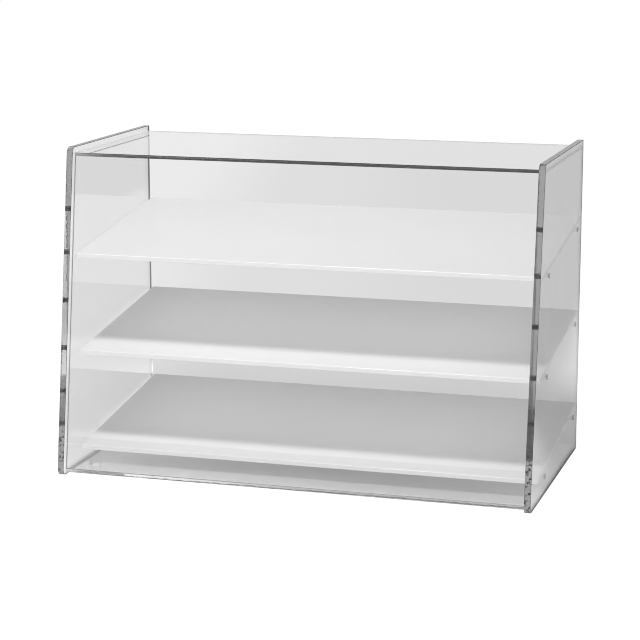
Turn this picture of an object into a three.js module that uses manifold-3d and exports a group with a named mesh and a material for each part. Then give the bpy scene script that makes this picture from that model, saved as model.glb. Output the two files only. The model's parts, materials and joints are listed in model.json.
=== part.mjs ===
// A countertop display case of clear acrylic sheet, with a slanted front, an open back and three sloping trays.
// Millimetres, +X to the right as seen from the front, +Y to the back, +Z up.
// The origin is on the table, under the middle of the whole part's box.
import * as THREE from "three";
import { mergeVertices } from "three/addons/utils/BufferGeometryUtils.js";
import Module from "manifold-3d";

const wasm = await Module();
wasm.setup();

// The whole case
const caseWidth = 590;
const caseHeight = 400;
const bottomDepth = 311;
const topDepth = 258;

// The side panels: they stand proud of the other panels at the front, the top and the bottom
const sideThickness = 8;
const sideCornerRadius = 8;
const sideEdgeBreak = 0.5;
const frontRecess = 7;
const topRecess = 7;
const baseLift = 3.5;

// The sheets between the side panels
const frontThickness = 4;
const topThickness = 4;
const baseThickness = 4;

// The trays: they slope at the front panel's lean, and the lowest one clears the base panel by lowerTrayGap
const trayThickness = 6;
const trayLength = 260;
const trayOverhang = 4;
const trayPitch = 121.3;
const lowerTrayGap = 13;
const traySideClearance = 1;
const trayEdgeRadius = 0.8;
const trayEndBreak = 0.5;

// The pegs that carry the trays, in holes drilled through the side panels
const pegDiameter = 6;
const pegReach = 12;
const pegEdgeBreak = 0.4;
const pegHoleClearance = 0.3;
const pegTrayClearance = 0.3;
const rearPegInset = 25.5;
const pegSpacing = 194.5;

// How finely curves are cut into flats
const cornerSegments = 8;
const pegSegments = 32;
const edgeSegments = 3;

// A cut reaches this far past the solid that it cuts
const cutOverrun = 1;

// Worked out from the values above
const half = (value) => value / 2;
const lean = (bottomDepth - topDepth) / caseHeight;
const leanAngle = Math.atan(lean);
// The rounding of a side panel's lower front corner takes this much off its depth
const cornerSetback =
  sideCornerRadius / Math.tan(half(half(Math.PI) - leanAngle)) - sideCornerRadius;
const overallDepth = bottomDepth - cornerSetback + trayOverhang;
const frontY = -half(overallDepth) - cornerSetback;
const rearY = frontY + bottomDepth;
const innerWidth = caseWidth - sideThickness - sideThickness;
const alongTray = new THREE.Vector2(Math.cos(leanAngle), Math.sin(leanAngle));
const acrossTray = new THREE.Vector2(-Math.sin(leanAngle), Math.cos(leanAngle));
const frontThicknessAcross = frontThickness / Math.cos(leanAngle);
const topPanelTop = caseHeight - topRecess;
const topPanelUnderside = topPanelTop - topThickness;
const basePanelTop = baseLift + baseThickness;
const pegRadius = half(pegDiameter);
const trayWidth = innerWidth - traySideClearance - traySideClearance;

// The y of the front panel's outer face at a height
const outerFrontAt = (z) => frontY + frontRecess + lean * z;

const levels = ["lower", "middle", "upper"];

const clearAcrylic = () =>
  new THREE.MeshStandardMaterial({
    color: 0xf2f6f6,
    roughness: 0.05,
    metalness: 0,
    transparent: true,
    opacity: 0.25,
  });

const whiteAcrylic = () =>
  new THREE.MeshStandardMaterial({
    color: 0xeeeeee,
    roughness: 0.15,
    metalness: 0,
  });

// A point of a side profile, in y and z
const at = (y, z) => new THREE.Vector2(y, z);

// Adds an arc that rounds the corner at point between the directions to the points before and after it
function roundCorner(path, before, point, after, radius) {
  const back = before.clone().sub(point).normalize();
  const on = after.clone().sub(point).normalize();
  const halfAngle = half(Math.acos(back.dot(on)));
  const reach = radius / Math.tan(halfAngle);
  const start = point.clone().addScaledVector(back, reach);
  const end = point.clone().addScaledVector(on, reach);
  const middle = back.clone().add(on).normalize();
  const centre = point.clone().addScaledVector(middle, radius / Math.sin(halfAngle));
  const clockwise = back.cross(on) > 0;
  const from = start.clone().sub(centre).angle();
  const to = end.clone().sub(centre).angle();
  path.absarc(centre.x, centre.y, radius, from, to, clockwise);
}

// A closed shape through the corners, each rounded by its own radius, or left sharp where that is zero
function profile(corners) {
  const shape = new THREE.Shape();
  corners.forEach(({ point, radius }, i) => {
    const before = corners.at(i - 1).point;
    const after = corners[(i + 1) % corners.length].point;
    if (radius > 0) roundCorner(shape, before, point, after, radius);
    else if (i === 0) shape.moveTo(point.x, point.y);
    else shape.lineTo(point.x, point.y);
  });
  shape.closePath();
  return shape;
}

const sharp = (y, z) => ({ point: at(y, z), radius: 0 });
const rounded = (y, z, radius) => ({ point: at(y, z), radius });

// A sheet with this side profile, as wide as given and centred on x, its rims broken by edgeBreak
function sheet(shape, width, curveSegments, edgeBreak = 0) {
  const geometry = new THREE.ExtrudeGeometry(shape, {
    depth: width - edgeBreak - edgeBreak,
    curveSegments,
    bevelEnabled: edgeBreak > 0,
    bevelThickness: edgeBreak,
    bevelSize: edgeBreak,
    bevelOffset: -edgeBreak,
    bevelSegments: 1,
  });
  geometry.translate(0, 0, edgeBreak - half(width));
  // The profile's own x and y become y and z
  geometry.applyMatrix4(new THREE.Matrix4().makeBasis(
    new THREE.Vector3(0, 1, 0),
    new THREE.Vector3(0, 0, 1),
    new THREE.Vector3(1, 0, 0),
  ));
  return geometry;
}

// A plain round rod along x, centred on the origin
function rod(radius, length) {
  return new THREE.CylinderGeometry(radius, radius, length, pegSegments).rotateZ(-half(Math.PI));
}

// The same with both ends' rims broken
function dressedRod(radius, length, edgeBreak) {
  const halfLength = half(length);
  const outline = [
    at(0, -halfLength),
    at(radius - edgeBreak, -halfLength),
    at(radius, edgeBreak - halfLength),
    at(radius, halfLength - edgeBreak),
    at(radius - edgeBreak, halfLength),
    at(0, halfLength),
  ];
  return new THREE.LatheGeometry(outline, pegSegments).rotateZ(-half(Math.PI));
}

// A closed geometry as a solid that can be cut, with its place baked in
function solid(geometry, position = new THREE.Vector3()) {
  const bare = geometry.clone().translate(position.x, position.y, position.z);
  bare.deleteAttribute("normal");
  bare.deleteAttribute("uv");
  const merged = mergeVertices(bare);
  return new wasm.Manifold(new wasm.Mesh({
    numProp: 3,
    vertProperties: merged.attributes.position.array,
    triVerts: new Uint32Array(merged.index.array),
  }));
}

function geometryOf(manifold) {
  const mesh = manifold.getMesh();
  const geometry = new THREE.BufferGeometry();
  geometry.setAttribute("position", new THREE.BufferAttribute(mesh.vertProperties, 3));
  geometry.setIndex(new THREE.BufferAttribute(mesh.triVerts, 1));
  const flat = geometry.toNonIndexed();
  flat.computeVertexNormals();
  return flat;
}

function piece(name, geometry, material) {
  const mesh = new THREE.Mesh(geometry, material);
  mesh.name = name;
  return mesh;
}

// The lower rear edge of the tray of one level
function trayRearEdge(level) {
  const frontGap = lowerTrayGap + level * trayPitch;
  return at(rearY + trayOverhang, basePanelTop + frontGap + trayLength * alongTray.y);
}

// The centres of the pegs under the tray of one level: the rear one stands rearPegInset in from the panel's back,
// and the front one pegSpacing away from it along the tray's slope
function pegPlaces(level) {
  const drop = pegRadius + pegTrayClearance;
  const toRearPeg = (rearPegInset + trayOverhang - drop * acrossTray.x) / alongTray.x;
  const rear = trayRearEdge(level)
    .addScaledVector(alongTray, -toRearPeg)
    .addScaledVector(acrossTray, -drop);
  const front = rear.clone().addScaledVector(alongTray, -pegSpacing);
  return { rear, front };
}

const allPegPlaces = levels.map((_, level) => pegPlaces(level));

// One side panel's outline, seen from the side: slanted at the front, upright at the back
function sideOutline() {
  return profile([
    sharp(rearY, 0),
    sharp(rearY, caseHeight),
    rounded(rearY - topDepth, caseHeight, sideCornerRadius),
    rounded(frontY, 0, sideCornerRadius),
  ]);
}

function sidePanel(name, side) {
  const holeRadius = pegRadius + pegHoleClearance;
  const drill = rod(holeRadius, sideThickness + cutOverrun + cutOverrun);
  let panel = solid(sheet(sideOutline(), sideThickness, cornerSegments, sideEdgeBreak));
  for (const { rear, front } of allPegPlaces)
    for (const place of [rear, front])
      panel = panel.subtract(solid(drill, new THREE.Vector3(0, place.x, place.y)));
  const mesh = piece(name, geometryOf(panel), clearAcrylic());
  mesh.position.x = side * half(caseWidth - sideThickness);
  return mesh;
}

// The front panel leans back between the base panel and the top panel, its ends cut level to lie flat on them
function frontPanel() {
  const outline = profile([
    sharp(outerFrontAt(basePanelTop), basePanelTop),
    sharp(outerFrontAt(basePanelTop) + frontThicknessAcross, basePanelTop),
    sharp(outerFrontAt(topPanelUnderside) + frontThicknessAcross, topPanelUnderside),
    sharp(outerFrontAt(topPanelUnderside), topPanelUnderside),
  ]);
  return piece("front_panel", sheet(outline, innerWidth, cornerSegments), clearAcrylic());
}

// A level panel whose front edge is cut to the slant of the front panel's outer face
function levelPanel(name, underside, thickness) {
  const upperSide = underside + thickness;
  const outline = profile([
    sharp(outerFrontAt(underside), underside),
    sharp(rearY, underside),
    sharp(rearY, upperSide),
    sharp(outerFrontAt(upperSide), upperSide),
  ]);
  return piece(name, sheet(outline, innerWidth, cornerSegments), clearAcrylic());
}

// A tray lies on its pegs. Its own frame has y along the slope and z square to it, from the lower rear edge
function tray(level) {
  const outline = profile([
    rounded(-trayLength, 0, trayEdgeRadius),
    rounded(0, 0, trayEdgeRadius),
    rounded(0, trayThickness, trayEdgeRadius),
    rounded(-trayLength, trayThickness, trayEdgeRadius),
  ]);
  const mesh = piece(
    levels[level] + "_tray",
    sheet(outline, trayWidth, edgeSegments, trayEndBreak),
    whiteAcrylic(),
  );
  const rearEdge = trayRearEdge(level);
  mesh.position.set(0, rearEdge.x, rearEdge.y);
  mesh.rotation.x = leanAngle;
  return mesh;
}

// A peg is flush with the side panel's outer face and reaches in under the tray
function peg(name, side, place) {
  const length = sideThickness + pegReach;
  const mesh = piece(name, dressedRod(pegRadius, length, pegEdgeBreak), clearAcrylic());
  mesh.position.set(side * half(caseWidth - length), place.x, place.y);
  return mesh;
}

const displayCase = new THREE.Group();
const sides = { left: -1, right: 1 };

for (const [sideName, side] of Object.entries(sides))
  displayCase.add(sidePanel(sideName + "_side_panel", side));

displayCase.add(frontPanel());
displayCase.add(levelPanel("top_panel", topPanelUnderside, topThickness));
displayCase.add(levelPanel("base_panel", baseLift, baseThickness));

levels.forEach((levelName, level) => {
  displayCase.add(tray(level));
  for (const [sideName, side] of Object.entries(sides))
    for (const [row, place] of Object.entries(allPegPlaces[level]))
      displayCase.add(peg([levelName, sideName, row, "peg"].join("_"), side, place));
});

export default displayCase;
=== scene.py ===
# The finish of a clear acrylic display case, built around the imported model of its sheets, trays and pegs.
# Metres, in the model's own frame: +X to the right, +Y to the open back, +Z up, the table at zero.
import json
import math

import bmesh
import bpy
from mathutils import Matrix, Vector


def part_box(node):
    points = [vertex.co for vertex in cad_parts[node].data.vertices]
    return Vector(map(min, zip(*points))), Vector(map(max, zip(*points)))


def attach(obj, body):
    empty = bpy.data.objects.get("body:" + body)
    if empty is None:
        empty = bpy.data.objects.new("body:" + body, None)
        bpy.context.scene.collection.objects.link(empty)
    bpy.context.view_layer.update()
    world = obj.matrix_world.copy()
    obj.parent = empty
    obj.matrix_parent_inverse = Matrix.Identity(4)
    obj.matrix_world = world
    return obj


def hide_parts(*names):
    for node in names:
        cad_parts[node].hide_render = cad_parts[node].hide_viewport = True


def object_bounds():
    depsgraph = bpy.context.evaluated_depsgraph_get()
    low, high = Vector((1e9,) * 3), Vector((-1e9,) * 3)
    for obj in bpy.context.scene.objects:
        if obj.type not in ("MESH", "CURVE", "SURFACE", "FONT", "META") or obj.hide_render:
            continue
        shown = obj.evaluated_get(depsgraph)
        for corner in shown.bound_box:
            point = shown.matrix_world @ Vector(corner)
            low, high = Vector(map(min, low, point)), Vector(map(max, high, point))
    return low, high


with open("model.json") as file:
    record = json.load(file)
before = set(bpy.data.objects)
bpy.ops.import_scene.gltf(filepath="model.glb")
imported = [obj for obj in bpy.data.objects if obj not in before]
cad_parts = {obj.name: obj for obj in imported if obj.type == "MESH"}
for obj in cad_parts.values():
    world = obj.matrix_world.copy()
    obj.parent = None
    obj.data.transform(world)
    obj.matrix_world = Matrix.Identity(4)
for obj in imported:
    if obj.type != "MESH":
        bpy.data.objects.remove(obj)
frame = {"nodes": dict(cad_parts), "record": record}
cad_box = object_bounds()

METRE = 1.0
MM = 0.001
X_AXIS = (1.0, 0.0, 0.0)
Y_AXIS = (0.0, 1.0, 0.0)
Z_AXIS = (0.0, 0.0, 1.0)
WHITE = (1.0, 1.0, 1.0)

# The camera, fitted to the straight edges and the drilled holes in the photograph
CAMERA_PLACE = (0.72443, -2.45246, 0.70131)
CAMERA_TURN = math.radians(16.555)
CAMERA_DIP = math.radians(11.48)
CAMERA_LENS = 117.84
CAMERA_SENSOR = 36.0
FILTER_WIDTH = 1.0
# How often light may turn: enough for the many mirrorings inside the thin sheets
MAX_BOUNCES = 48
GLOSSY_BOUNCES = 40
TRANSMISSION_BOUNCES = 24
TRANSPARENT_BOUNCES = 32

# The studio: a sheet of white paper lies under and behind the case, in a darker room. The key light stands
# in front of the case and above it, and pale walls light it from all round
AMBIENT_HORIZON = 1.8
AMBIENT_OVERHEAD = 0.1
AMBIENT_LOW = math.radians(5)
AMBIENT_HIGH = math.radians(50)
KEY_WATTS = 19.4
KEY_AIM = (0.0, 0.0, 0.2)
KEY_DISTANCE = 1.6
KEY_SIZE = 0.26
KEY_RISE = math.radians(64.0)
KEY_TURN = math.radians(-20.0)
FLOOR_REACH = 4.0
FLOOR_WHITE = (0.95, 0.95, 0.95)
# The floor lies this far under the case, so that no two surfaces lie in each other
FLOOR_GAP = 0.1 * MM
# How bright the paper and the room are to the camera, and how much of that hides the floor's own light
PAPER_SEEN = 1.12
PAPER_SEEN_SHARE = 0.85
ROOM_SEEN = 1.0
# The same through acrylic, with painted light and shade on the paper: painted shade of the case dims it
# close behind the case, painted shade dims it to the right, and painted light makes it brightest to the
# left. An under share is how much of the floor's own light and shade is hidden under the case
THROUGH = 0.8
THROUGH_NEAR_SHADE = 0.62
THROUGH_LEFT_LIGHT = 0.91
THROUGH_UNDER_SHARE = 0.32
NEAR_SHADE_END = 0.9
LEFT_START = -0.15
LEFT_END = -0.5
LEFT_SLOPE = 0.25
RIGHT_END = 0.25
THROUGH_RIGHT_SHADE = 0.94
# The same in acrylic's reflections: painted reflections on the floor, bright behind and to the left, dimmer
# to the right and dark in front, under a room dark overhead. Near, close behind the case, the painted
# reflection is brightest at the left, and dim at the right but for the strip beside the case
MIRRORED = 0.82
MIRRORED_LEFT = 1.55
MIRRORED_NEAR_LEFT = 1.8
MIRRORED_NEAR = 0.35
MIRRORED_BESIDE = 0.8
MIRRORED_SIDE = 0.45
MIRRORED_ROOM = 0.04
MIRRORED_OVERHEAD = 0.35
MIRRORED_NEAR_START = 0.22
MIRRORED_NEAR_LEFT_END = -0.3
MIRRORED_BESIDE_START = 0.27
MIRRORED_BESIDE_END = 0.31
MIRRORED_BESIDE_SLOPE = 0.33
MIRRORED_NEAR_END = 0.5
MIRRORED_SIDE_START = 0.30
MIRRORED_SIDE_END = 0.36
MIRRORED_SLOPE = 0.1
MIRRORED_FRONT = -0.25
MIRRORED_UNDER_SHARE = 0.6
FADE = 0.15
# Painted contact shadow: a dark strip of floor, this wide, lies along each side panel, inside it and outside
CONTACT_SHADOW_GLOW = 0.03
CONTACT_SHADOW_WIDTH = 6 * MM

# Acrylic
ACRYLIC_IOR = 1.49
CLEAR_TINT = (0.94, 0.94, 0.94)
SHADOW_TINT = (0.96, 0.96, 0.96)
ABSORPTION_COLOUR = (0.3, 0.3, 0.3)
SIDE_ABSORPTION = 3.4
TOP_ABSORPTION = 9.0
BASE_ABSORPTION = 1.0
OPAL_WHITE = (0.88, 0.88, 0.88)
OPAL_DEEP = (0.85, 0.85, 0.85)

# The finish: sizes and depths of what is faintly seen on the sheets, and how rough each is. A range, a
# start, an end or a turn gives two values, of a noise or of how far the surface faces some way, between
# which something fades in or out
SMEAR_SIZE = 60 * MM
SMEAR_DETAIL = 4
SMEAR_RANGE = (0.45, 0.75)
SMEAR_ROUGHNESS = 0.02
WAVE_SIZE = 90 * MM
WAVE_DETAIL = 1
WAVE_HEIGHT = 0.02 * MM
EDGE_RANGE = (0.95, 0.6)
UNDERSIDE_RANGE = (-0.95, -0.6)
END_RANGE = (0.9, 0.98)
RIM_START = (0.25, 0.35)
RIM_END = (0.94, 0.97)
RIM_TURN = (-0.2, 0.2)
# Painted shade: how much of the dark tone lies on the rims between edge and face, at the front and at the
# rear
FRONT_RIM_SHADE = 0.5
REAR_RIM_SHADE = 0.95
RIPPLE_SIZE = 5 * MM
RIPPLE_DETAIL = 2
RIPPLE_HEIGHT = 0.05 * MM
EDGE_ROUGHNESS = 0.03
MOTTLE_SIZE = 45 * MM
MOTTLE_DETAIL = 3
OPAL_ROUGHNESS = 0.18
OPAL_SMEARED_ROUGHNESS = 0.22
OPAL_SMEAR_RANGE = (0.35, 0.7)
OPAL_SCRATCHED_ROUGHNESS = 0.4
SCRATCH_SCALE = (2500.0, 25.0, 25.0)
SCRATCH_DETAIL = 2
SCRATCH_RANGE = (0.66, 0.74)
SCRATCH_DEPTH = 0.01 * MM
# Painted shade: the dark tone on edges, rims and hole walls, standing in for the dark lines they show. Then
# the pale tone of the cement specks, and how much painted shade lies on the free edges of the side panels
# and of the thin sheets and on the walls of drilled holes
PAINTED_SHADE_TONE = (0.06, 0.06, 0.06)
CEMENT_TONE = (0.36, 0.36, 0.36)
SIDE_EDGE_SHADE = 0.1
THIN_EDGE_SHADE = 0.3
HOLE_SHADE = 0.95
# The ends of the thin sheets are milky with cement
MILKY_TONE = (0.9, 0.9, 0.9)
MILKINESS = 0.8
# The feet of the side panels' edges are darkened with painted shade, standing in for the contact shadow on
# the table, and speckled with dried cement
FOOT_HEIGHT = 66 * MM
FOOT_BLEND = 6 * MM
FOOT_SHADE = 0.7
SPECK_SIZE = 3.5 * MM
SPECK_DETAIL = 2
SPECK_RANGE = (0.34, 0.52)

# The thin film of cement in each joint, and the small rounding of every exposed rim
CEMENT_FILM = 0.05 * MM
RIM_ROUNDING = 0.6 * MM
RIM_ANGLE = math.radians(30)
RIM_SEGMENTS = 2
RIM_PROFILE = 0.5
# Corners closer than this are one, faces turned less than this are one flat face, and curves up to this turn
# are shaded smooth
WELD_REACH = 0.01 * MM
FLAT_ANGLE = math.radians(1)
SMOOTH_ANGLE = math.radians(25)
FLAT_FACE_WEIGHT = 100
# The walls of a peg's hole lie within this of the peg, and are darkened with painted shade where they face
# front or back this squarely
HOLE_MARGIN = 1.0 * MM
HOLE_FACING = 0.9
# A cemented edge lies within this of the sheet that it is cemented to
JOINT_MARGIN = 0.2 * MM


def set_up_camera():
    data = bpy.data.cameras.new("camera")
    data.lens = CAMERA_LENS
    data.sensor_width = CAMERA_SENSOR
    camera = bpy.data.objects.new("camera", data)
    camera.location = CAMERA_PLACE
    camera.rotation_euler = (math.pi / 2 - CAMERA_DIP, 0.0, CAMERA_TURN)
    bpy.context.scene.collection.objects.link(camera)
    bpy.context.scene.camera = camera


def opaque(colour):
    return (*colour, 1.0)


class Nodes:
    """Short names for making and joining shader nodes."""

    def __init__(self, tree):
        self.tree = tree
        tree.nodes.clear()

    def add(self, kind, **settings):
        node = self.tree.nodes.new(kind)
        for name, value in settings.items():
            setattr(node, name, value)
        return node

    def join(self, output, socket):
        self.tree.links.new(output, socket)

    def feed(self, value, socket):
        """A number is written on the socket, and another node's output is joined to it."""
        if isinstance(value, (int, float)):
            socket.default_value = value
        else:
            self.join(value, socket)

    def maths(self, operation, *values):
        node = self.add("ShaderNodeMath", operation=operation)
        for socket, value in zip(node.inputs, values):
            self.feed(value, socket)
        return node.outputs[0]

    def choose(self, share, off, on):
        node = self.add("ShaderNodeMix", data_type="FLOAT")
        for name, value in (("Factor", share), ("A", off), ("B", on)):
            self.feed(value, node.inputs[name])
        return node.outputs["Result"]

    def step(self, value, start, end, low=0.0, high=1.0):
        """A soft step from low at start to high at end."""
        node = self.add("ShaderNodeMapRange", interpolation_type="SMOOTHSTEP")
        names = ("Value", "From Min", "From Max", "To Min", "To Max")
        for name, given in zip(names, (value, start, end, low, high)):
            self.feed(given, node.inputs[name])
        return node.outputs["Result"]

    def noise(self, place, size, detail):
        node = self.add("ShaderNodeTexNoise")
        self.join(place, node.inputs["Vector"])
        node.inputs["Scale"].default_value = METRE / size
        node.inputs["Detail"].default_value = detail
        return node.outputs["Fac"]

    def bump(self, height):
        """A bumped normal from a height in metres."""
        node = self.add("ShaderNodeBump")
        node.inputs["Distance"].default_value = METRE
        self.join(height, node.inputs["Height"])
        return node.outputs[0]

    def along(self, vector, direction):
        """How far a vector reaches in a direction."""
        node = self.add("ShaderNodeVectorMath", operation="DOT_PRODUCT")
        self.join(vector, node.inputs[0])
        node.inputs[1].default_value = direction
        return node.outputs["Value"]


def new_material(name):
    material = bpy.data.materials.new(name)
    material.use_nodes = True
    return material, Nodes(material.node_tree)


def mix_shaders(nodes, share, first, second):
    mix = nodes.add("ShaderNodeMixShader")
    nodes.join(share, mix.inputs[0])
    nodes.join(first, mix.inputs[1])
    nodes.join(second, mix.inputs[2])
    return mix.outputs[0]


def shade_and_cement_share(nodes, normal, facing, edge, foot, drilled, edge_shade, milky):
    """How much of clear acrylic's surface is darkened with painted shade or clouded with cement.

    Its free edges carry a little painted shade, but more at their foot, its cemented ends are clouded with
    cement as much as they are milky, and the rims between edge and face and the walls of drilled holes carry
    the most painted shade, standing in for the dark lines they show."""
    free = nodes.step(nodes.maths("ABSOLUTE", nodes.along(normal, X_AXIS)), *EDGE_RANGE)
    rim = nodes.maths("MULTIPLY", nodes.step(facing, *RIM_START), nodes.step(facing, *RIM_END, 1.0, 0.0))
    edge_shade_level = nodes.choose(foot, edge_shade, FOOT_SHADE)
    free_edges = nodes.maths("MULTIPLY", nodes.maths("MULTIPLY", edge, free), edge_shade_level)
    edges = nodes.maths("MAXIMUM", free_edges, milky)
    backward = nodes.along(normal, Y_AXIS)
    rim_shade_level = nodes.step(backward, *RIM_TURN, FRONT_RIM_SHADE, REAR_RIM_SHADE)
    marks = nodes.maths("MAXIMUM", nodes.maths("MULTIPLY", drilled, HOLE_SHADE),
                        nodes.maths("MULTIPLY", rim, rim_shade_level))
    return nodes.maths("MAXIMUM", edges, marks)


def shade_and_cement_tone(nodes, place, normal, foot, drilled, milky, pale_tone):
    """The tone of clear acrylic's painted-shade and cement parts: dark for the painted shade, but pale in
    specks of cement at the foot and where it is milky.
    """
    specks = nodes.step(nodes.noise(place, SPECK_SIZE, SPECK_DETAIL), *SPECK_RANGE)
    upward = nodes.step(nodes.along(normal, Z_AXIS), *UNDERSIDE_RANGE)
    speckled = nodes.maths("MULTIPLY", nodes.maths("MULTIPLY", foot, upward), specks)
    pale = nodes.maths("MAXIMUM", speckled, milky)
    tone = nodes.add("ShaderNodeMix", data_type="RGBA")
    nodes.join(nodes.choose(drilled, pale, 0.0), tone.inputs["Factor"])
    tone.inputs["A"].default_value = opaque(PAINTED_SHADE_TONE)
    tone.inputs["B"].default_value = opaque(pale_tone)
    return tone.outputs["Result"]


def clear_acrylic(name, density, face_axis, edge_shade, pale_tone=CEMENT_TONE, foot_height=0.0,
                  milkiness=0.0):
    """Clear sheet that bends and mirrors what is seen, and lets lamps through as a plain tint.

    Its faces are glossy with faint smears. Its cut edges, turned away from face_axis, are flame polished and
    slightly rippled, and a little darkened with painted shade in place of the dark lines they show. Up to
    foot_height the painted shade is deeper and cement, in the pale tone, speckles the edges, and cement
    clouds its ends as much as milkiness says."""
    material, nodes = new_material(name)
    place = nodes.add("ShaderNodeTexCoord").outputs["Object"]
    normal = nodes.add("ShaderNodeNewGeometry").outputs["True Normal"]
    facing = nodes.maths("ABSOLUTE", nodes.along(normal, face_axis))
    edge = nodes.step(facing, *EDGE_RANGE)
    smears = nodes.noise(place, SMEAR_SIZE, SMEAR_DETAIL)
    smeared = nodes.step(smears, *SMEAR_RANGE, 0.0, SMEAR_ROUGHNESS)
    ripple = nodes.noise(place, RIPPLE_SIZE, RIPPLE_DETAIL)
    waviness = nodes.noise(place, WAVE_SIZE, WAVE_DETAIL)
    glass = nodes.add("ShaderNodeBsdfPrincipled")
    glass.inputs["Base Color"].default_value = opaque(CLEAR_TINT)
    glass.inputs["IOR"].default_value = ACRYLIC_IOR
    glass.inputs["Transmission Weight"].default_value = 1.0
    nodes.join(nodes.choose(edge, smeared, EDGE_ROUGHNESS), glass.inputs["Roughness"])
    height = nodes.choose(edge, nodes.maths("MULTIPLY", waviness, WAVE_HEIGHT),
                          nodes.maths("MULTIPLY", ripple, RIPPLE_HEIGHT))
    nodes.join(nodes.bump(height), glass.inputs["Normal"])
    # Up to the foot height the edges carry deeper painted shade
    foot = nodes.step(nodes.along(place, Z_AXIS), foot_height, foot_height - FOOT_BLEND)
    drilled = nodes.add("ShaderNodeAttribute", attribute_name="drilled").outputs["Fac"]
    end = nodes.step(nodes.maths("ABSOLUTE", nodes.along(normal, X_AXIS)), *END_RANGE)
    milky = nodes.maths("MULTIPLY", end, milkiness)
    # This diffuse share paints shade in the dark tone on edges, rims, hole walls and feet, and shows cement
    # in its pale tones
    shade_and_cement_diffuse = nodes.add("ShaderNodeBsdfDiffuse")
    if foot_height or milkiness:
        tone = shade_and_cement_tone(nodes, place, normal, foot, drilled, milky, pale_tone)
        nodes.join(tone, shade_and_cement_diffuse.inputs["Color"])
    else:
        shade_and_cement_diffuse.inputs["Color"].default_value = opaque(PAINTED_SHADE_TONE)
    shade_and_cement = shade_and_cement_share(nodes, normal, facing, edge, foot, drilled, edge_shade, milky)
    surface = mix_shaders(nodes, shade_and_cement, glass.outputs[0], shade_and_cement_diffuse.outputs[0])
    through = nodes.add("ShaderNodeBsdfTransparent")
    through.inputs["Color"].default_value = opaque(SHADOW_TINT)
    path = nodes.add("ShaderNodeLightPath").outputs
    plain = nodes.maths("MAXIMUM", path["Is Shadow Ray"], path["Is Diffuse Ray"])
    output = nodes.add("ShaderNodeOutputMaterial")
    nodes.join(mix_shaders(nodes, plain, surface, through.outputs[0]), output.inputs["Surface"])
    absorption = nodes.add("ShaderNodeVolumeAbsorption")
    absorption.inputs["Color"].default_value = opaque(ABSORPTION_COLOUR)
    absorption.inputs["Density"].default_value = density
    nodes.join(absorption.outputs[0], output.inputs["Volume"])
    return material


def opal_acrylic(name):
    """White opal sheet: a soft gloss, faint mottling and smears, and scratches along the trays' slide."""
    material, nodes = new_material(name)
    place = nodes.add("ShaderNodeTexCoord").outputs["Object"]
    mottle = nodes.noise(place, MOTTLE_SIZE, MOTTLE_DETAIL)
    tone = nodes.add("ShaderNodeMix", data_type="RGBA")
    nodes.join(mottle, tone.inputs["Factor"])
    tone.inputs["A"].default_value = opaque(OPAL_DEEP)
    tone.inputs["B"].default_value = opaque(OPAL_WHITE)
    smears = nodes.noise(place, SMEAR_SIZE, SMEAR_DETAIL)
    stretched = nodes.add("ShaderNodeMapping")
    nodes.join(place, stretched.inputs["Vector"])
    stretched.inputs["Scale"].default_value = SCRATCH_SCALE
    scratches = nodes.step(nodes.noise(stretched.outputs[0], METRE, SCRATCH_DETAIL), *SCRATCH_RANGE)
    opal = nodes.add("ShaderNodeBsdfPrincipled")
    opal.inputs["IOR"].default_value = ACRYLIC_IOR
    nodes.join(tone.outputs["Result"], opal.inputs["Base Color"])
    gloss = nodes.step(smears, *OPAL_SMEAR_RANGE, OPAL_ROUGHNESS, OPAL_SMEARED_ROUGHNESS)
    nodes.join(nodes.choose(scratches, gloss, OPAL_SCRATCHED_ROUGHNESS), opal.inputs["Roughness"])
    nodes.join(nodes.bump(nodes.maths("MULTIPLY", scratches, -SCRATCH_DEPTH)), opal.inputs["Normal"])
    output = nodes.add("ShaderNodeOutputMaterial")
    nodes.join(opal.outputs[0], output.inputs["Surface"])
    return material


def is_cemented(edge, neighbours):
    """Whether an edge lies in the joint with one of the neighbours."""
    middle = (edge.verts[0].co + edge.verts[1].co) / 2
    for low, high in map(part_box, neighbours):
        if all(low[i] - JOINT_MARGIN < middle[i] < high[i] + JOINT_MARGIN for i in range(3)):
            return True
    return False


def dress(node, material, body, shrink=Vector(), neighbours=()):
    """A finer copy of a CAD node: flat faces joined, free rims rounded, curves smooth.

    It stands in for the node, and is smaller by shrink, a film of cement, where it meets its neighbours."""
    source = frame["nodes"][node].data
    mesh = bpy.data.meshes.new(node + "_dressed")
    work = bmesh.new()
    work.from_mesh(source)
    bmesh.ops.remove_doubles(work, verts=work.verts, dist=WELD_REACH)
    bmesh.ops.dissolve_limit(work, angle_limit=FLAT_ANGLE, verts=work.verts, edges=work.edges)
    low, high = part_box(node)
    centre = (low + high) / 2
    for vert in work.verts:
        for axis in range(3):
            side = vert.co[axis] - centre[axis]
            if abs(side) > 0:
                vert.co[axis] -= math.copysign(min(shrink[axis], abs(side)), side)
    rims = []
    for edge in work.edges:
        if edge.is_manifold and edge.calc_face_angle() > RIM_ANGLE and not is_cemented(edge, neighbours):
            rims.append(edge)
    bmesh.ops.bevel(work, geom=rims, offset=RIM_ROUNDING, segments=RIM_SEGMENTS, profile=RIM_PROFILE,
                    affect="EDGES", clamp_overlap=True, harden_normals=False)
    work.to_mesh(mesh)
    work.free()
    piece = bpy.data.objects.new(node + "_dressed", mesh)
    bpy.context.scene.collection.objects.link(piece)
    mesh.materials.append(material)
    mesh.shade_smooth()
    mesh.set_sharp_from_angle(angle=SMOOTH_ANGLE)
    flat_faces = piece.modifiers.new("flat_faces", "WEIGHTED_NORMAL")
    flat_faces.mode = "FACE_AREA"
    flat_faces.weight = FLAT_FACE_WEIGHT
    flat_faces.keep_sharp = True
    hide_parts(node)
    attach(piece, body)
    return piece


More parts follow.
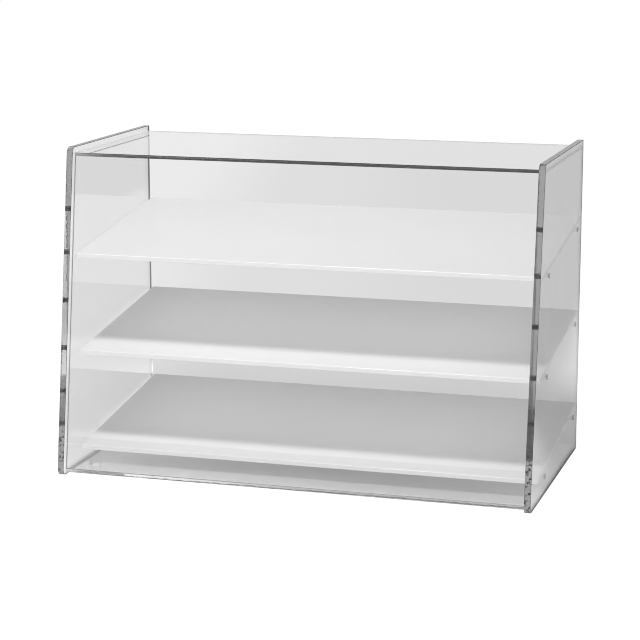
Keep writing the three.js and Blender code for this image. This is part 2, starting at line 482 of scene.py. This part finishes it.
def rays(nodes):
    """Masks for rays from the camera, rays from acrylic, and those of the latter that it also mirrored."""
    path = nodes.add("ShaderNodeLightPath").outputs
    in_acrylic = nodes.maths("MAXIMUM", path["Is Glossy Ray"], path["Is Transmission Ray"])
    turned = nodes.maths("SUBTRACT", path["Ray Depth"], path["Transmission Depth"])
    mirrored = nodes.maths("MULTIPLY", in_acrylic, nodes.maths("GREATER_THAN", turned, 0.0))
    return path["Is Camera Ray"], in_acrylic, mirrored


def mark_holes(panel, pegs):
    """Marks the front and rear of the walls of a side panel's peg holes for the material."""
    mesh = panel.data
    drilled = mesh.attributes.new("drilled", "FLOAT", "FACE")
    places = []
    for peg in pegs:
        low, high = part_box(peg)
        places.append(((low + high) / 2, (high.z - low.z) / 2 + HOLE_MARGIN))
    for face, mark in zip(mesh.polygons, drilled.data):
        for centre, reach in places:
            offset = face.center - centre
            if math.hypot(offset.y, offset.z) < reach and abs(face.normal.y) > HOLE_FACING:
                mark.value = 1.0


def painted_contact_shadows(nodes, across, depth, in_acrylic, mirrored):
    """A mask for the painted contact shadows: dark strips of floor along the side panels.

    Those inside the panels show through acrylic and in it, and those outside in reflections only."""
    low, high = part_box("base_panel")
    outer = cad_box[1].x
    sideways = nodes.maths("ABSOLUTE", across)
    beyond = nodes.maths("GREATER_THAN", sideways, high.x)
    inside = nodes.maths("MULTIPLY", in_acrylic, nodes.step(sideways, high.x - CONTACT_SHADOW_WIDTH, high.x))
    outside = nodes.maths("MULTIPLY", mirrored, nodes.step(sideways, outer + CONTACT_SHADOW_WIDTH, outer))
    behind_front = nodes.maths("GREATER_THAN", depth, low.y)
    ahead_of_rear = nodes.maths("LESS_THAN", depth, high.y)
    alongside = nodes.maths("MULTIPLY", behind_front, ahead_of_rear)
    return nodes.maths("MULTIPLY", alongside, nodes.choose(beyond, inside, outside))


def set_up_floor():
    """A pale floor: white to the camera but for the case's soft shadow, and carrying painted shade, painted
    light, painted contact shadows and painted reflections where acrylic shows it.
    """
    reach = FLOOR_REACH
    corners = [(-reach, -reach, -FLOOR_GAP), (reach, -reach, -FLOOR_GAP),
               (reach, reach, -FLOOR_GAP), (-reach, reach, -FLOOR_GAP)]
    mesh = bpy.data.meshes.new("floor")
    mesh.from_pydata(corners, [], [(0, 1, 2, 3)])
    floor = bpy.data.objects.new("floor", mesh)
    bpy.context.scene.collection.objects.link(floor)
    material, nodes = new_material("floor")
    lit = nodes.add("ShaderNodeBsdfDiffuse")
    lit.inputs["Color"].default_value = opaque(FLOOR_WHITE)
    glow = nodes.add("ShaderNodeEmission")
    glow.inputs["Color"].default_value = opaque(WHITE)
    camera, in_acrylic, mirrored = rays(nodes)
    place = nodes.add("ShaderNodeTexCoord").outputs["Object"]
    across = nodes.along(place, X_AXIS)
    depth = nodes.along(place, Y_AXIS)
    low, high = cad_box
    beside = nodes.step(nodes.maths("ABSOLUTE", across), high.x + FADE, high.x)
    under = nodes.maths("MULTIPLY", beside, nodes.step(depth, high.y + FADE, high.y))
    # Painted shade dims the paper close behind the case and to its right, and painted light brightens it to
    # the left
    shade_behind = nodes.step(depth, high.y, NEAR_SHADE_END, THROUGH_NEAR_SHADE, THROUGH)
    sideways = nodes.along(place, (1.0, LEFT_SLOPE, 0.0))
    left_light = nodes.step(sideways, LEFT_START, LEFT_END)
    right_shade = nodes.step(sideways, LEFT_START, RIGHT_END, 1.0, THROUGH_RIGHT_SHADE)
    through = nodes.maths("MULTIPLY", nodes.choose(left_light, shade_behind, THROUGH_LEFT_LIGHT), right_shade)
    # Painted reflections: floor levels that only acrylic's mirrorings show, brighter to the left, dimmer to
    # the right and at the right close behind the case, and dark in front
    turned_right = nodes.along(place, (1.0, -MIRRORED_SLOPE, 0.0))
    aside = nodes.step(turned_right, MIRRORED_SIDE_START, MIRRORED_SIDE_END, MIRRORED, MIRRORED_SIDE)
    far = nodes.choose(left_light, aside, MIRRORED_LEFT)
    turned_out = nodes.along(place, (1.0, -MIRRORED_BESIDE_SLOPE, 0.0))
    near_right = nodes.step(turned_out, MIRRORED_BESIDE_START, MIRRORED_BESIDE_END,
                            MIRRORED_NEAR, MIRRORED_BESIDE)
    near_left = nodes.step(across, 0.0, MIRRORED_NEAR_LEFT_END, MIRRORED, MIRRORED_NEAR_LEFT)
    near = nodes.choose(nodes.step(across, MIRRORED_NEAR_START, high.x), near_left, near_right)
    rear = nodes.choose(nodes.step(depth, MIRRORED_NEAR_END - FADE, MIRRORED_NEAR_END + FADE), near, far)
    in_front = nodes.step(depth, MIRRORED_FRONT + FADE, MIRRORED_FRONT)
    turned = nodes.choose(in_front, rear, MIRRORED_ROOM)
    level = nodes.choose(camera, nodes.choose(mirrored, through, turned), PAPER_SEEN)
    # Painted contact shadows darken the floor along the side panels
    contact_shadows = painted_contact_shadows(nodes, across, depth, in_acrylic, mirrored)
    nodes.join(nodes.choose(contact_shadows, level, CONTACT_SHADOW_GLOW), glow.inputs["Strength"])
    under_share = nodes.choose(mirrored, THROUGH_UNDER_SHARE, MIRRORED_UNDER_SHARE)
    unshaded = nodes.choose(under, 1.0, under_share)
    share = nodes.choose(camera, nodes.maths("MULTIPLY", in_acrylic, unshaded), PAPER_SEEN_SHARE)
    share = nodes.maths("MAXIMUM", share, contact_shadows)
    output = nodes.add("ShaderNodeOutputMaterial")
    nodes.join(mix_shaders(nodes, share, lit.outputs[0], glow.outputs[0]), output.inputs["Surface"])
    mesh.materials.append(material)


def set_up_world():
    world = bpy.data.worlds.new("studio")
    world.use_nodes = True
    bpy.context.scene.world = world
    nodes = Nodes(world.node_tree)
    direction = nodes.add("ShaderNodeTexCoord").outputs["Generated"]
    height = nodes.along(direction, Z_AXIS)
    low = math.sin(AMBIENT_LOW)
    high = math.sin(AMBIENT_HIGH)
    ambient = nodes.step(height, low, high, AMBIENT_HORIZON, AMBIENT_OVERHEAD)
    room = nodes.step(height, low, high, MIRRORED, MIRRORED_OVERHEAD)
    camera, in_acrylic, mirrored = rays(nodes)
    unseen = nodes.choose(in_acrylic, ambient, nodes.choose(mirrored, THROUGH, room))
    background = nodes.add("ShaderNodeBackground")
    background.inputs["Color"].default_value = opaque(WHITE)
    nodes.join(nodes.choose(camera, unseen, ROOM_SEEN), background.inputs["Strength"])
    output = nodes.add("ShaderNodeOutputWorld")
    nodes.join(background.outputs[0], output.inputs["Surface"])


def set_up_key_light():
    data = bpy.data.lights.new("key", "AREA")
    data.energy = KEY_WATTS
    data.size = KEY_SIZE
    light = bpy.data.objects.new("key", data)
    direction = Vector((
        math.sin(KEY_TURN) * math.cos(KEY_RISE),
        -math.cos(KEY_TURN) * math.cos(KEY_RISE),
        math.sin(KEY_RISE),
    ))
    light.location = Vector(KEY_AIM) + KEY_DISTANCE * direction
    light.rotation_euler = direction.to_track_quat("Z", "Y").to_euler()
    bpy.context.scene.collection.objects.link(light)


def set_up_render():
    scene = bpy.context.scene
    scene.view_settings.view_transform = "Standard"
    scene.cycles.max_bounces = MAX_BOUNCES
    scene.cycles.glossy_bounces = GLOSSY_BOUNCES
    scene.cycles.transmission_bounces = TRANSMISSION_BOUNCES
    scene.cycles.transparent_max_bounces = TRANSPARENT_BOUNCES
    scene.cycles.filter_width = FILTER_WIDTH


set_up_camera()
set_up_floor()
set_up_world()
set_up_key_light()
set_up_render()

# The front panel leans back by the trays' slope, so it faces along their slide turned to point down
slide = Vector(frame["record"]["behaviour"]["joints"][0]["axis"])
front_axis = (0.0, slide.y, -slide.z)

feet = {"foot_height": FOOT_HEIGHT}
ends = {"pale_tone": MILKY_TONE, "milkiness": MILKINESS}
side_acrylic = clear_acrylic("clear_side_acrylic", SIDE_ABSORPTION, X_AXIS, SIDE_EDGE_SHADE, **feet)
top_acrylic = clear_acrylic("clear_top_acrylic", TOP_ABSORPTION, Z_AXIS, THIN_EDGE_SHADE, **ends)
base_acrylic = clear_acrylic("clear_base_acrylic", BASE_ABSORPTION, Z_AXIS, 0.0, **ends)
front_acrylic = clear_acrylic("clear_front_acrylic", TOP_ABSORPTION, front_axis, THIN_EDGE_SHADE, **ends)
rod_acrylic = clear_acrylic("clear_rod_acrylic", SIDE_ABSORPTION, X_AXIS, 0.0)
opal = opal_acrylic("white_opal_acrylic")

FILM_X = Vector((CEMENT_FILM, 0.0, 0.0))
FILM_XZ = Vector((CEMENT_FILM, 0.0, CEMENT_FILM))
SIDE_PANELS = ["left_side_panel", "right_side_panel"]

for name in frame["nodes"]:
    if name.endswith("_side_panel"):
        side = name.split("_")[0]
        pegs = [other for other in frame["nodes"] if other.endswith("_peg") and side in other]
        mark_holes(dress(name, side_acrylic, "case"), pegs)
    elif name.endswith("_tray"):
        dress(name, opal, name)
    elif name.endswith("_peg"):
        dress(name, rod_acrylic, "case")

dress("front_panel", front_acrylic, "case", FILM_XZ, ["top_panel", "base_panel"])
dress("top_panel", top_acrylic, "case", FILM_X, [*SIDE_PANELS, "front_panel"])
dress("base_panel", base_acrylic, "case", FILM_X, [*SIDE_PANELS, "front_panel"])
